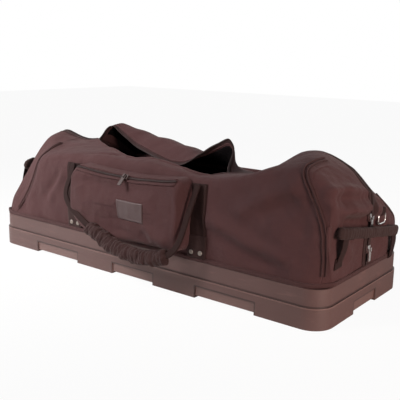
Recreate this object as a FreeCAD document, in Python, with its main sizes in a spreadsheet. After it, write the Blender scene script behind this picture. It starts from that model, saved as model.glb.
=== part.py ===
import FreeCAD, Part
import Sketcher
import math
import os

# A long case for drum hardware: a moulded tray carries a soft fabric body with hoods at both ends.
# The origin is the centre of the face that the tray rests on, +X runs along the case to its right end,
# -Y is the front with the pocket, and +Z is up. All lengths are in millimetres.

V = FreeCAD.Vector
X_AXIS = V(1, 0, 0)
Y_AXIS = V(0, 1, 0)
Z_AXIS = V(0, 0, 1)

doc = FreeCAD.newDocument("hardware_case")
sheet = doc.addObject("Spreadsheet::Sheet", "Sizes")
nodes = []

sizes = {
    # Moulded tray
    "case_length": 960, "case_width": 370, "tray_height": 80, "band_height": 44, "band_step": 3,
    "corner_radius": 45, "tray_wall": 4, "tray_floor": 5,
    "foot_drop": 5, "window_height": 21, "window_depth": 3, "channel_depth": 40,
    "middle_window": 126, "outer_window": 149, "window_gap": 119, "end_window": 102,
    # Padded board in the tray
    "board_thickness": 10, "board_clearance": 2,
    # Fabric body
    "fabric_setback": 5, "fabric_rise": 230, "fabric_wall": 6, "eave_radius": 24, "lining_thickness": 1.5,
    "seam_inset": 30, "end_seam_length": 50, "left_hood_length": 175, "right_hood_length": 290,
    "binding_height": 9, "binding_thickness": 2,
    # Top flaps
    "flap_thickness": 4, "front_flap_gap": 2.6, "back_flap_gap": 1, "flap_hinge_rise": 2.55,
    "flap_depth": 128, "flap_end_gap": 7,
    "front_flap_left": 195, "flap_lining_thickness": 1.2, "flap_lining_start": 12,
    "edge_tape_width": 10, "edge_tape_thickness": 1.6, "edge_coil_size": 3.2,
    # Zipper laid on hoods and ends
    "ridge_tape_width": 30, "ridge_tape_thickness": 1.2, "ridge_coil_width": 5, "ridge_coil_rise": 1.8,
    # Zipper sliders and pulls
    "slider_length": 16, "slider_width": 11, "slider_rise": 5, "slider_clearance": 0.3,
    "upper_slider_height": 190, "lower_slider_height": 124, "pocket_slider_place": 15,
    "bridge_length": 8, "bridge_width": 4, "bridge_thickness": 1.5, "bridge_gap": 3.4,
    "pull_length": 26, "pull_width": 9, "pull_thickness": 2, "pull_clearance": 0.5,
    # Corner seams
    "piping_width": 4, "piping_rise": 2.5, "piping_gap": 9,
    "right_seam_foot_inset": 15, "right_seam_top_inset": 43,
    "left_seam_foot_inset": 43, "left_seam_top_inset": 103,
    # Webbing on the panels
    "webbing_width": 44, "webbing_thickness": 2.4, "webbing_clearance": 1, "webbing_top": 246,
    "patch_height": 46, "patch_thickness": 1.2,
    "rivet_diameter": 9, "rivet_top": 4.5, "rivet_rise": 2.2, "rivet_pitch": 22, "rivet_inset": 11,
    # Pocket on the front
    "pocket_length": 334, "pocket_bottom": 98, "pocket_top": 248, "pocket_depth": 44,
    "pocket_radius": 34, "pocket_wall": 3, "pocket_bevel": 18,
    "pocket_tape_width": 18, "pocket_tape_thickness": 1.2, "pocket_coil_width": 4, "pocket_coil_rise": 1.6,
    "badge_length": 78, "badge_height": 44, "badge_thickness": 1.2, "badge_place": 10, "badge_centre": 168,
    # Carry handles
    "front_loop_drop": 178, "back_loop_drop": 100, "front_loop_radius": 90, "back_loop_radius": 62,
    "loop_width": 16, "loop_thickness": 8, "loop_clearance": 0.4,
    "front_loop_angle": 21, "back_loop_angle": 8,
    "grip_length": 180, "grip_width": 38, "grip_depth": 22,
    # End handles
    "bar_length": 270, "bar_height": 24, "bar_depth": 14, "bar_round": 6,
    "leg_width": 34, "leg_thickness": 3, "leg_inset": 25.5,
    "right_leg_height": 30, "left_leg_height": 46, "bar_standoff": 13,
    "right_bar_height": 150, "left_bar_height": 172, "right_bar_angle": 11, "left_bar_angle": 0,
    "anchor_height": 22, "anchor_thickness": 2.4, "leg_clearance": 0.4,
    # Rings for a shoulder strap
    "ring_width": 38, "ring_depth": 26, "ring_wire": 4, "ring_radius": 8, "tab_width": 18, "tab_height": 16,
    "tab_depth": 8, "ring_place": 58, "right_ring_height": 188, "left_ring_height": 138,
    "ring_clearance": 0.4,
}

row = 0
for name, number in sizes.items():
    row += 1
    sheet.set("A%d" % row, name)
    sheet.set("B%d" % row, str(number))
    sheet.setAlias("B%d" % row, name)
doc.recompute()


def size(name):
    return float(sheet.get(name))


def keep(item, label):
    item.Label = label
    nodes.append(item)
    return item


def code_node(label, shape):
    item = doc.addObject("Part::Feature", label)
    item.Shape = shape
    return keep(item, label)


def s(name):
    return "Sizes." + name


def origin_plane(body, role):
    for feature in body.Origin.OriginFeatures:
        if feature.Role == role:
            return feature


def centred_rectangle(sketch, length, width, centre_x="0", centre_y="0"):
    corners = [V(-2, -1, 0), V(2, -1, 0), V(2, 1, 0), V(-2, 1, 0)]
    first = sketch.GeometryCount
    for index in range(4):
        sketch.addGeometry(Part.LineSegment(corners[index], corners[(index + 1) % 4]), False)
    for index in range(4):
        sketch.addConstraint(Sketcher.Constraint("Coincident", first + index, 2, first + (index + 1) % 4, 1))
    for index, kind in enumerate(["Horizontal", "Vertical", "Horizontal", "Vertical"]):
        sketch.addConstraint(Sketcher.Constraint(kind, first + index))
    rules = [
        (Sketcher.Constraint("DistanceX", first, 1, first, 2, 4), length),
        (Sketcher.Constraint("DistanceY", first + 1, 1, first + 1, 2, 2), width),
        (Sketcher.Constraint("DistanceX", -1, 1, first, 2, 2), "(%s) / 2 + (%s)" % (length, centre_x)),
        (Sketcher.Constraint("DistanceY", -1, 1, first + 2, 1, 1), "(%s) / 2 + (%s)" % (width, centre_y)),
    ]
    for rule, text in rules:
        place = sketch.addConstraint(rule)
        sketch.setExpression("Constraints[%d]" % place, text)


def rounded_rectangle(sketch, length, width, radius):
    half_x = float(sketch.evalExpression(length)) / 2
    half_y = float(sketch.evalExpression(width)) / 2
    bend = float(sketch.evalExpression(radius))
    flat_x = half_x - bend
    flat_y = half_y - bend
    lines = [
        (V(-flat_x, -half_y, 0), V(flat_x, -half_y, 0)),
        (V(half_x, -flat_y, 0), V(half_x, flat_y, 0)),
        (V(flat_x, half_y, 0), V(-flat_x, half_y, 0)),
        (V(-half_x, flat_y, 0), V(-half_x, -flat_y, 0)),
    ]
    centres = [V(flat_x, -flat_y, 0), V(flat_x, flat_y, 0), V(-flat_x, flat_y, 0), V(-flat_x, -flat_y, 0)]
    for start, end in lines:
        sketch.addGeometry(Part.LineSegment(start, end), False)
    for index, centre in enumerate(centres):
        circle = Part.Circle(centre, Z_AXIS, bend)
        start_angle = (index - 1) * math.pi / 2
        sketch.addGeometry(Part.ArcOfCircle(circle, start_angle, start_angle + math.pi / 2), False)
    for index in range(4):
        sketch.addConstraint(Sketcher.Constraint("Tangent", index, 2, index + 4, 1))
        sketch.addConstraint(Sketcher.Constraint("Tangent", index + 4, 2, (index + 1) % 4, 1))
        sketch.addConstraint(Sketcher.Constraint("Vertical" if index % 2 else "Horizontal", index))
    for index in range(5, 8):
        sketch.addConstraint(Sketcher.Constraint("Equal", 4, index))
    rules = [
        (Sketcher.Constraint("Radius", 4, bend), radius),
        (Sketcher.Constraint("DistanceX", -1, 1, 1, 1, half_x), "(%s) / 2" % length),
        (Sketcher.Constraint("DistanceX", 3, 1, -1, 1, half_x), "(%s) / 2" % length),
        (Sketcher.Constraint("DistanceY", -1, 1, 2, 1, half_y), "(%s) / 2" % width),
        (Sketcher.Constraint("DistanceY", 0, 1, -1, 1, half_y), "(%s) / 2" % width),
    ]
    for rule, text in rules:
        place = sketch.addConstraint(rule)
        sketch.setExpression("Constraints[%d]" % place, text)


def body_sketch(body, name, role, offset=None):
    sketch = body.newObject("Sketcher::SketchObject", name)
    sketch.AttachmentSupport = [(origin_plane(body, role), "")]
    sketch.MapMode = "FlatFace"
    if offset:
        sketch.setExpression("AttachmentOffset.Base.z", offset)
    return sketch


def pad(body, name, sketch, length):
    feature = body.newObject("PartDesign::Pad", name)
    feature.Profile = sketch
    feature.setExpression("Length", length)
    return feature


def pocket(body, name, sketch, length, reverse=False):
    before = body.Shape.Volume
    feature = body.newObject("PartDesign::Pocket", name)
    feature.Profile = sketch
    feature.setExpression("Length", length)
    feature.Reversed = reverse
    doc.recompute()
    if not body.Shape.Volume < before:
        feature.Reversed = not reverse
        doc.recompute()
    if not body.Shape.Volume < before:
        raise RuntimeError(name + " cuts nothing")
    return feature


# Base tray: one moulding, a lower band with feet and windows, and an upper band set in by a small step.
tray = doc.addObject("PartDesign::Body", "base_tray_body")
lower = body_sketch(tray, "LowerBand", "XY_Plane")
rounded_rectangle(lower, s("case_length"), s("case_width"), s("corner_radius"))
pad(tray, "LowerBandPad", lower, s("band_height"))
upper = body_sketch(tray, "UpperBand", "XY_Plane", s("band_height"))
rounded_rectangle(upper, s("case_length") + " - 2 * " + s("band_step"),
                  s("case_width") + " - 2 * " + s("band_step"),
                  s("corner_radius") + " - " + s("band_step"))
pad(tray, "UpperBandPad", upper, s("tray_height") + " - " + s("band_height"))
doc.recompute()

# Shallow channels run in under the tray from its edges, and leave feet standing between the windows.
channels = body_sketch(tray, "Channels", "XY_Plane")
window_step = "(%s + %s) / 2 + %s" % (s("middle_window"), s("outer_window"), s("window_gap"))
channel_reach = "2 * " + s("channel_depth")
for way in ("", "-"):
    edge_place = "%s%s / 2" % (way, s("case_width"))
    centred_rectangle(channels, s("middle_window"), channel_reach, "0", edge_place)
    centred_rectangle(channels, s("outer_window"), channel_reach, window_step, edge_place)
    centred_rectangle(channels, s("outer_window"), channel_reach, "-(%s)" % window_step, edge_place)
    centred_rectangle(channels, channel_reach, s("end_window"), "%s%s / 2" % (way, s("case_length")))
pocket(tray, "ChannelCut", channels, s("foot_drop"), True)

hollow = body_sketch(tray, "Hollow", "XY_Plane", s("tray_height"))
wall_inset = "(%s + %s)" % (s("band_step"), s("tray_wall"))
rounded_rectangle(hollow, s("case_length") + " - 2 * " + wall_inset, s("case_width") + " - 2 * " + wall_inset,
                  s("corner_radius") + " - " + wall_inset)
pocket(tray, "HollowCut", hollow, s("tray_height") + " - " + s("foot_drop") + " - " + s("tray_floor"))

for place in ("front", "back"):
    windows = body_sketch(tray, place + "_windows", "XZ_Plane",
                          ("" if place == "front" else "-") + s("case_width") + " / 2")
    middle_height = s("foot_drop") + " + " + s("window_height") + " / 2"
    centred_rectangle(windows, s("middle_window"), s("window_height"), "0", middle_height)
    centred_rectangle(windows, s("outer_window"), s("window_height"), window_step, middle_height)
    centred_rectangle(windows, s("outer_window"), s("window_height"), "-(%s)" % window_step,
                      middle_height)
    pocket(tray, place + "_window_cut", windows, s("window_depth"), place == "back")
for place in ("left", "right"):
    windows = body_sketch(tray, place + "_window", "YZ_Plane",
                          ("" if place == "right" else "-") + s("case_length") + " / 2")
    centred_rectangle(windows, s("end_window"), s("window_height"), "0",
                      s("foot_drop") + " + " + s("window_height") + " / 2")
    pocket(tray, place + "_window_cut", windows, s("window_depth"), place == "left")
keep(tray, "base_tray")

# Padded board that lies on the tray's floor.
board = doc.addObject("PartDesign::Body", "base_board_body")
board_outline = body_sketch(board, "BoardOutline", "XY_Plane", s("foot_drop") + " + " + s("tray_floor"))
board_inset = "(%s + %s)" % (wall_inset, s("board_clearance"))
rounded_rectangle(board_outline, "%s - 2 * %s" % (s("case_length"), board_inset),
                  "%s - 2 * %s" % (s("case_width"), board_inset), "%s - %s" % (s("corner_radius"), board_inset))
pad(board, "BoardPad", board_outline, s("board_thickness"))
doc.recompute()
keep(board, "base_board")

# Fabric body. Each station is a cross-section of the whole soft body: its place along the length, the half
# width at its foot, the half width of its eaves, and the heights of front eave, ridge and back eave.
station_shares = [
    (-1.000, 0.767, 0.722, 0.400, 0.600, 0.400),
    (-0.975, 0.906, 0.820, 0.500, 0.760, 0.450),
    (-0.920, 0.989, 0.905, 0.617, 0.883, 0.500),
    (-0.812, 1.000, 0.950, 0.678, 0.948, 0.530),
    (-0.633, 1.000, 0.967, 0.709, 0.870, 0.543),
    (-0.422, 1.000, 0.983, 0.817, 0.870, 0.543),
    (0.485, 1.000, 0.983, 0.817, 0.870, 0.543),
    (0.633, 1.000, 0.983, 0.887, 0.917, 0.543),
    (0.760, 1.000, 0.978, 0.939, 1.000, 0.535),
    (0.903, 0.994, 0.956, 0.952, 0.887, 0.457),
    (0.964, 0.930, 0.880, 0.887, 0.791, 0.400),
    (1.000, 0.767, 0.722, 0.791, 0.717, 0.350),
]
half_length = size("case_length") / 2 - size("fabric_setback")
half_width = size("case_width") / 2 - size("fabric_setback")
rise = size("fabric_rise")
foot = size("tray_height")
wall = size("fabric_wall")
seam = half_width - size("seam_inset")
reach = size("case_length")


def flat_offset(points, inset):
    # Moves every side but the last one inwards, for a clockwise outline.
    sides = []
    for index, start in enumerate(points):
        end = points[(index + 1) % len(points)]
        along = end.sub(start)
        along.normalize()
        inward = V(0, along.z, -along.y)
        shift = 0 if index == len(points) - 1 else inset
        sides.append((start + inward * shift, along))
    moved = []
    for index in range(len(points)):
        point, along = sides[index]
        other, other_along = sides[index - 1]
        cross = other_along.y * along.z - other_along.z * along.y
        gap = point.sub(other)
        distance = (gap.y * along.z - gap.z * along.y) / cross
        moved.append(other + other_along * distance)
    return moved


def bent_corner(before, corner, after, radius):
    back = before.sub(corner)
    ahead = after.sub(corner)
    back.normalize()
    ahead.normalize()
    half = back.getAngle(ahead) / 2
    middle = back + ahead
    middle.normalize()
    tangent = radius / math.tan(half)
    centre = corner + middle * (radius / math.sin(half))
    return corner + back * tangent, centre - middle * radius, corner + ahead * tangent


def body_form(inset, below=0):
    wires = []
    for x_share, foot_share, eave_share, front_share, ridge_share, back_share in station_shares:
        x = x_share * (half_length - inset)
        points = [
            V(x, -half_width * foot_share, foot - below),
            V(x, -half_width * eave_share, foot + rise * front_share),
            V(x, 0, foot + rise * ridge_share),
            V(x, half_width * eave_share, foot + rise * back_share),
            V(x, half_width * foot_share, foot - below),
        ]
        points = flat_offset(points, inset)
        radius = size("eave_radius") - inset
        b1, b2, b3 = bent_corner(points[0], points[1], points[2], radius)
        d1, d2, d3 = bent_corner(points[2], points[3], points[4], radius)
        wires.append(Part.Wire([
            Part.LineSegment(points[0], b1).toShape(), Part.Arc(b1, b2, b3).toShape(),
            Part.LineSegment(b3, points[2]).toShape(), Part.LineSegment(points[2], d1).toShape(),
            Part.Arc(d1, d2, d3).toShape(), Part.LineSegment(d3, points[4]).toShape(),
            Part.LineSegment(points[4], points[0]).toShape(),
        ]))
    return Part.makeLoft(wires, True, True)


def block(low_x, high_x, low_y, high_y, low_z, high_z):
    return Part.makeBox(high_x - low_x, high_y - low_y, high_z - low_z, V(low_x, low_y, low_z))


def roof_height(y, front=True):
    # Height of the roof's outer face over the opening, away from the rounded eaves.
    eave = foot + rise * (station_shares[5][3] if front else station_shares[5][5])
    ridge = foot + rise * station_shares[5][4]
    return ridge + (eave - ridge) * abs(y) / (half_width * station_shares[5][2])


def wall_place(z, front=True):
    # Distance of a long wall's outer face from the middle plane, beside the opening.
    eave = foot + rise * (station_shares[5][3] if front else station_shares[5][5])
    top_half = half_width * station_shares[5][2]
    return half_width + (top_half - half_width) * (z - foot) / (eave - foot)


outer_form = body_form(0)
inner_form = body_form(wall, wall)
shell = outer_form.cut(inner_form)
end_seam = half_length - size("end_seam_length")
opening_left = size("left_hood_length") - half_length
opening_right = half_length - size("right_hood_length")

code_node("front_panel", shell.common(block(-end_seam, end_seam, -reach, -seam, 0, reach)))
code_node("back_panel", shell.common(block(-end_seam, end_seam, seam, reach, 0, reach)))
code_node("left_end_panel", shell.common(block(-reach, -end_seam, -reach, reach, 0, reach)))
code_node("right_end_panel", shell.common(block(end_seam, reach, -reach, reach, 0, reach)))
code_node("left_hood", shell.common(block(-end_seam, opening_left, -seam, seam, 0, reach)))
code_node("right_hood", shell.common(block(opening_right, end_seam, -seam, seam, 0, reach)))

# Lining inside the fabric body, open over the same space as the top.
lining = inner_form.cut(body_form(wall + size("lining_thickness"), wall))
lining = lining.cut(block(opening_left, opening_right, -seam, seam, 0, reach))
code_node("body_lining", lining)


def skin(inner, outer):
    # A layer on the outside of the fabric body, from one height above its face to another.
    below = body_form(-inner) if inner else outer_form
    return body_form(-outer).cut(below)


# Binding that holds the fabric's foot to the tray's rim.
binding_top = foot + size("binding_height")
code_node("rim_binding", skin(0, size("binding_thickness")).common(
    block(-reach, reach, -reach, reach, foot, binding_top)))

# The long zipper's tape and coil, from the opening over each hood and down the end.
tape_rise = size("ridge_tape_thickness")
coil_rise = tape_rise + size("ridge_coil_rise")
tape_skin = skin(0, tape_rise)
coil_skin = skin(tape_rise, coil_rise)
for side, low_x, high_x in (("left", -reach, opening_left), ("right", opening_right, reach)):
    for label, layer, width in ((side + "_zipper_tape", tape_skin, size("ridge_tape_width")),
                                (side + "_zipper_coil", coil_skin, size("ridge_coil_width"))):
        code_node(label, layer.common(block(low_x, high_x, -width / 2, width / 2, binding_top, reach)))

# Piped seams run up the four corners, two cords side by side.
piping_skin = skin(0, size("piping_rise"))
for side, sign in (("left", -1), ("right", 1)):
    seam_foot = sign * (half_length - size(side + "_seam_foot_inset"))
    seam_top = sign * (half_length - size(side + "_seam_top_inset"))
    for place, low_y, high_y in (("front", -reach, -seam + 2 * size("eave_radius")),
                                 ("back", seam - 2 * size("eave_radius"), reach)):
        cords = []
        for shift in (0, -sign * size("piping_gap")):
            corners = [
                V(seam_foot + shift - size("piping_width") / 2, low_y, binding_top),
                V(seam_foot + shift + size("piping_width") / 2, low_y, binding_top),
                V(seam_top + shift + size("piping_width") / 2, low_y, foot + rise),
                V(seam_top + shift - size("piping_width") / 2, low_y, foot + rise),
            ]
            slab = Part.Face(Part.makePolygon(corners + corners[:1])).extrude(V(0, high_y - low_y, 0))
            cords.append(piping_skin.common(slab))
        code_node("%s_%s_piping" % (place, side), Part.makeCompound(
            [solid for cord in cords for solid in cord.Solids]))

# Webbing straps run up the front and the back, with a sewn patch and rivets at each foot.
strap_top = size("webbing_thickness")
patch_top = strap_top + size("patch_thickness")
strap_skin = skin(0, strap_top)
patch_skin = skin(strap_top, patch_top)
half_strap = size("webbing_width") / 2
half_span = size("pocket_length") / 2 + size("webbing_clearance") + half_strap
patches = []
rivets = []
for place, sign in (("front", -1), ("back", 1)):
    top = size("webbing_top") if sign < 0 else foot + rise * station_shares[5][5] - size("eave_radius")
    low_y, high_y = (-reach, 0) if sign < 0 else (0, reach)
    for side, centre in (("left", -half_span), ("right", half_span)):
        code_node("%s_%s_strap" % (place, side), strap_skin.common(
            block(centre - half_strap, centre + half_strap, low_y, high_y, binding_top, top)))
        patches += patch_skin.common(block(
            centre - half_strap, centre + half_strap, low_y, high_y,
            binding_top, binding_top + size("patch_height"))).Solids
        for step in (-1, 1):
            height = binding_top + size("rivet_inset")
            depth = wall_place(height, sign < 0) + patch_top - size("patch_thickness") / 2
            base = V(centre + step * size("rivet_pitch") / 2, sign * depth, height)
            head = Part.makeCone(size("rivet_diameter") / 2, size("rivet_top") / 2,
                                 size("rivet_rise") + size("patch_thickness") / 2, base, V(0, sign, 0))
            rivets.append(head)
patch_shape = Part.makeCompound(patches)
for head in rivets:
    patch_shape = patch_shape.cut(head)
code_node("strap_patches", patch_shape)
rivet_shapes = []
for head in rivets:
    rivet_shapes += head.cut(strap_skin).Solids
code_node("strap_rivets", Part.makeCompound(rivet_shapes))


# Pocket on the front: a bag sewn to the panel, with a bevelled edge that carries its zipper at the top.
def pocket_form(grow):
    length = size("pocket_length") + 2 * grow
    low = size("pocket_bottom") - grow
    high = size("pocket_top") + grow
    bevel = size("pocket_bevel")
    depth = size("pocket_depth") + grow
    base = -half_width + wall
    bend = math.tan(math.pi / 8) * grow
    wires = []
    for y, shrink in ((base, 0), (base - wall - depth + bevel + bend - grow, 0), (base - wall - depth, bevel)):
        half = length / 2 - shrink
        bottom = low + shrink
        top = high - shrink
        radius = size("pocket_radius") + grow - shrink / 2
        outline = []
        corners = [V(-half, y, bottom), V(half, y, bottom), V(half, y, top), V(-half, y, top)]
        bends = [bent_corner(corners[index - 1], corners[index], corners[(index + 1) % 4], radius)
                 for index in range(4)]
        for index in range(4):
            outline.append(Part.Arc(*bends[index]).toShape())
            outline.append(Part.LineSegment(bends[index][2], bends[(index + 1) % 4][0]).toShape())
        wires.append(Part.Wire(outline))
    return Part.makeLoft(wires, True, True)


pocket_outer = pocket_form(0)
code_node("pocket_bag", pocket_outer.cut(pocket_form(-size("pocket_wall"))).cut(outer_form))
half_pocket = size("pocket_length") / 2 - size("pocket_radius")
bevel_y = -half_width - size("pocket_depth") + size("pocket_bevel") / 2
bevel_z = size("pocket_top") - size("pocket_bevel") / 2
slope = V(0, -1, 1)
slope.normalize()
across = V(0, 1, 1)
across.normalize()


def bevel_bar(width, low, high, length):
    # A straight bar on the pocket's upper bevel, between two heights above its face.
    bar = Part.makeBox(length, width, high - low, V(-length / 2, -width / 2, low))
    bar.Placement = FreeCAD.Placement(V(0, bevel_y, bevel_z), FreeCAD.Rotation(X_AXIS, 45))
    return bar


pocket_tape = size("pocket_tape_thickness")
code_node("pocket_zipper_tape", bevel_bar(size("pocket_tape_width"), 0, pocket_tape, 2 * half_pocket))
code_node("pocket_zipper_coil", bevel_bar(size("pocket_coil_width"), pocket_tape,
                                          pocket_tape + size("pocket_coil_rise"), 2 * half_pocket))
front_face = -half_width - size("pocket_depth")
code_node("pocket_badge", Part.makeBox(
    size("badge_length"), size("badge_thickness"), size("badge_height"),
    V(size("badge_place") - size("badge_length") / 2, front_face - size("badge_thickness"),
      size("badge_centre") - size("badge_height") / 2)))


# Zipper sliders and their pulls. Each is made lying flat: Y runs along the zipper and Z away from it.
def box_piece(name, length, width, height, z="0"):
    piece = doc.addObject("Part::Box", name)
    piece.setExpression("Length", length)
    piece.setExpression("Width", width)
    piece.setExpression("Height", height)
    piece.setExpression("Placement.Base.x", "-(%s) / 2" % length)
    piece.setExpression("Placement.Base.y", "-(%s) / 2" % width)
    piece.setExpression("Placement.Base.z", z)
    return piece


def cut_piece(name, base, tool):
    piece = doc.addObject("Part::Cut", name)
    piece.Base = base
    piece.Tool = tool
    return piece


def slider(label, coil_width, coil_top, placement, turned=False):
    # The bridge keeps its direction, and a turned slider runs along X under it.
    clear = s("slider_clearance")
    block_sides = [s("slider_width"), s("slider_length")]
    groove_sides = ["%s + 2 * %s" % (coil_width, clear), "%s + 2 * %s" % (s("slider_length"), clear)]
    if turned:
        block_sides.reverse()
        groove_sides.reverse()
    block_piece = box_piece(label + "_block", *block_sides, s("slider_rise"), clear)
    groove = box_piece(label + "_groove", *groove_sides, "%s + %s" % (coil_top, clear))
    bridge_base = "%s + %s" % (s("slider_rise"), clear)
    arch = box_piece(label + "_arch", s("bridge_width"), s("bridge_length"),
                     "%s + %s" % (s("bridge_gap"), s("bridge_thickness")), bridge_base)
    gap = box_piece(label + "_gap", "%s + 2 * %s" % (s("bridge_width"), clear),
                    "%s - 2 * %s" % (s("bridge_length"), s("bridge_thickness")), s("bridge_gap"), bridge_base)
    fused = doc.addObject("Part::Fuse", label)
    fused.Base = cut_piece(label + "_channel", block_piece, groove)
    fused.Tool = cut_piece(label + "_bridge", arch, gap)
    fused.Placement = placement
    return keep(fused, label)


def pull(label, placement):
    # A flat tab with a slot near its top, whose crossbar lies under the slider's bridge.
    height = "%s + %s + (%s - %s) / 2" % (s("slider_rise"), s("slider_clearance"), s("bridge_gap"),
                                           s("pull_thickness"))
    plate = box_piece(label + "_plate", s("pull_width"), s("pull_length"), s("pull_thickness"), height)
    plate.setExpression("Placement.Base.y", "%s / 2 - %s" % (s("pull_thickness"), s("pull_length")))
    slot = box_piece(label + "_slot", "%s + 2 * %s" % (s("bridge_width"), s("pull_clearance")),
                     "%s / 2" % s("bridge_length"), "2 * " + s("pull_thickness"),
                     "%s - %s / 2" % (height, s("pull_thickness")))
    slot.setExpression("Placement.Base.y", "-%s / 2 - %s / 2 - %s" % (
        s("pull_thickness"), s("bridge_length"), s("pull_clearance")))
    slot.setExpression("Width", "%s / 2 + %s" % (s("bridge_length"), s("pull_clearance")))
    piece = cut_piece(label, plate, slot)
    piece.Placement = placement
    return keep(piece, label)


end_face = half_length
upright = FreeCAD.Rotation(V(0, 1, 0), V(0, 0, 1), V(1, 0, 0), "ZXY")
for label, height in (("upper", size("upper_slider_height")), ("lower", size("lower_slider_height"))):
    place = FreeCAD.Placement(V(end_face + tape_rise, 0, height), upright)
    slider(label + "_slider", s("ridge_coil_width"), s("ridge_coil_rise"), place)
    pull(label + "_pull", place)
bevel_place = FreeCAD.Placement(V(size("pocket_slider_place"), bevel_y, bevel_z) + slope * pocket_tape,
                                FreeCAD.Rotation(X_AXIS, 45))
slider("pocket_slider", s("pocket_coil_width"), s("pocket_coil_rise"), bevel_place, True)
pull("pocket_pull", bevel_place)


# Top flaps. A flap is a padded sheet that starts in a narrow root at its hinge line. Its sections give the
# share of its length and the direction in degrees in which the sheet leaves the hinge, from the front.
def sheet_loft(low_x, high_x, axis, section_shares, start, end, low, high):
    wires = []
    for x_share, angle in section_shares:
        turn = math.radians(angle)
        along = V(0, -math.cos(turn), math.sin(turn))
        up = V(0, math.sin(turn), math.cos(turn))
        origin = V(low_x + (high_x - low_x) * x_share, axis.y, axis.z)
        corners = [origin + along * start + up * low, origin + along * end + up * low,
                   origin + along * end + up * high, origin + along * start + up * high]
        wires.append(Part.makePolygon(corners + corners[:1]))
    return Part.makeLoft(wires, True, True)


half_sheet = size("flap_thickness") / 2
depth = size("flap_depth")
tape_end = depth + size("edge_tape_width")
half_tape = size("edge_tape_thickness") / 2
half_coil = size("edge_coil_size") / 2
flap_right = opening_right - size("flap_end_gap")
back_shares = [(0, 49), (0.24, 40), (0.49, 27), (0.66, 33), (0.78, 45), (0.86, 14), (1, -12)]
front_shares = [(0, 269), (0.3, 266), (0.6, 269), (1, 265)]
for side, low_x, shares in (("front", -size("front_flap_left"), front_shares),
                            ("back", opening_left + size("flap_end_gap"), back_shares)):
    sign = -1 if side == "front" else 1
    hinge_y = sign * (seam - size(side + "_flap_gap"))
    axis = V(0, hinge_y, roof_height(hinge_y, side == "front") + size("flap_hinge_rise"))
    code_node(side + "_flap", sheet_loft(low_x, flap_right, axis, shares, -half_sheet / 2, depth,
                                         -half_sheet, half_sheet))
    inner_face = -sign * half_sheet
    liner_face = -sign * (half_sheet + size("flap_lining_thickness"))
    liner = sheet_loft(low_x, flap_right, axis, shares, size("flap_lining_start"), depth,
                       min(inner_face, liner_face), max(inner_face, liner_face))
    code_node(side + "_flap_lining", liner)
    code_node(side + "_flap_tape", sheet_loft(low_x, flap_right, axis, shares, depth, tape_end,
                                              -half_tape, half_tape))
    code_node(side + "_flap_coil", sheet_loft(low_x, flap_right, axis, shares, tape_end,
                                              tape_end + size("edge_coil_size"), -half_coil, half_coil))


# Carry handles. A webbing loop hangs from the tops of two straps, with a wrapped grip at its foot.
def loop_face(width, side):
    drop = size(side + "_loop_drop")
    radius = size(side + "_loop_radius")
    edges = []
    for grow in (-width / 2, width / 2):
        half = half_span + grow
        low = -drop - grow
        bend = radius + grow
        corner = bend * (1 - math.sqrt(0.5))
        points = [V(-half, 0, 0), V(-half, 0, low + bend), V(-half + corner, 0, low + corner),
                  V(-half + bend, 0, low), V(half - bend, 0, low), V(half - corner, 0, low + corner),
                  V(half, 0, low + bend), V(half, 0, 0)]
        edges.append([Part.LineSegment(points[0], points[1]).toShape(),
                      Part.Arc(points[1], points[2], points[3]).toShape(),
                      Part.LineSegment(points[3], points[4]).toShape(),
                      Part.Arc(points[4], points[5], points[6]).toShape(),
                      Part.LineSegment(points[6], points[7]).toShape()])
    ends = [Part.LineSegment(V(sign * (half_span - width / 2), 0, 0), V(sign * (half_span + width / 2), 0, 0))
            .toShape() for sign in (-1, 1)]
    return Part.Face(Part.Wire(Part.__sortEdges__(edges[0] + edges[1] + ends)))


def tilted(shape, side, angle, base):
    moved = shape.copy()
    turn = angle if side == "front" else -angle
    moved.Placement = FreeCAD.Placement(base, FreeCAD.Rotation(X_AXIS, -turn)).multiply(shape.Placement)
    return moved


loop_depth = size("loop_thickness")
for side, sign in (("front", -1), ("back", 1)):
    top = size("webbing_top") if side == "front" else foot + rise * station_shares[5][5] - size("eave_radius")
    standoff = wall_place(top, side == "front") + strap_top + size("loop_clearance") + loop_depth / 2
    base = V(0, sign * standoff, top)
    strap = loop_face(size("loop_width"), side).extrude(V(0, loop_depth, 0))
    strap.translate(V(0, -loop_depth / 2, 0))
    grip_half = size("grip_length") / 2
    grip_depth = size("grip_depth")
    grip = loop_face(size("grip_width"), side).extrude(V(0, grip_depth, 0))
    grip.translate(V(0, -grip_depth / 2, 0))
    grip = grip.common(block(-grip_half, grip_half, -reach, reach, -reach, 0)).cut(strap)
    angle = size(side + "_loop_angle")
    code_node(side + "_handle_loop", tilted(strap, side, angle, base))
    code_node(side + "_handle_grip", tilted(grip, side, angle, base))


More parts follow.
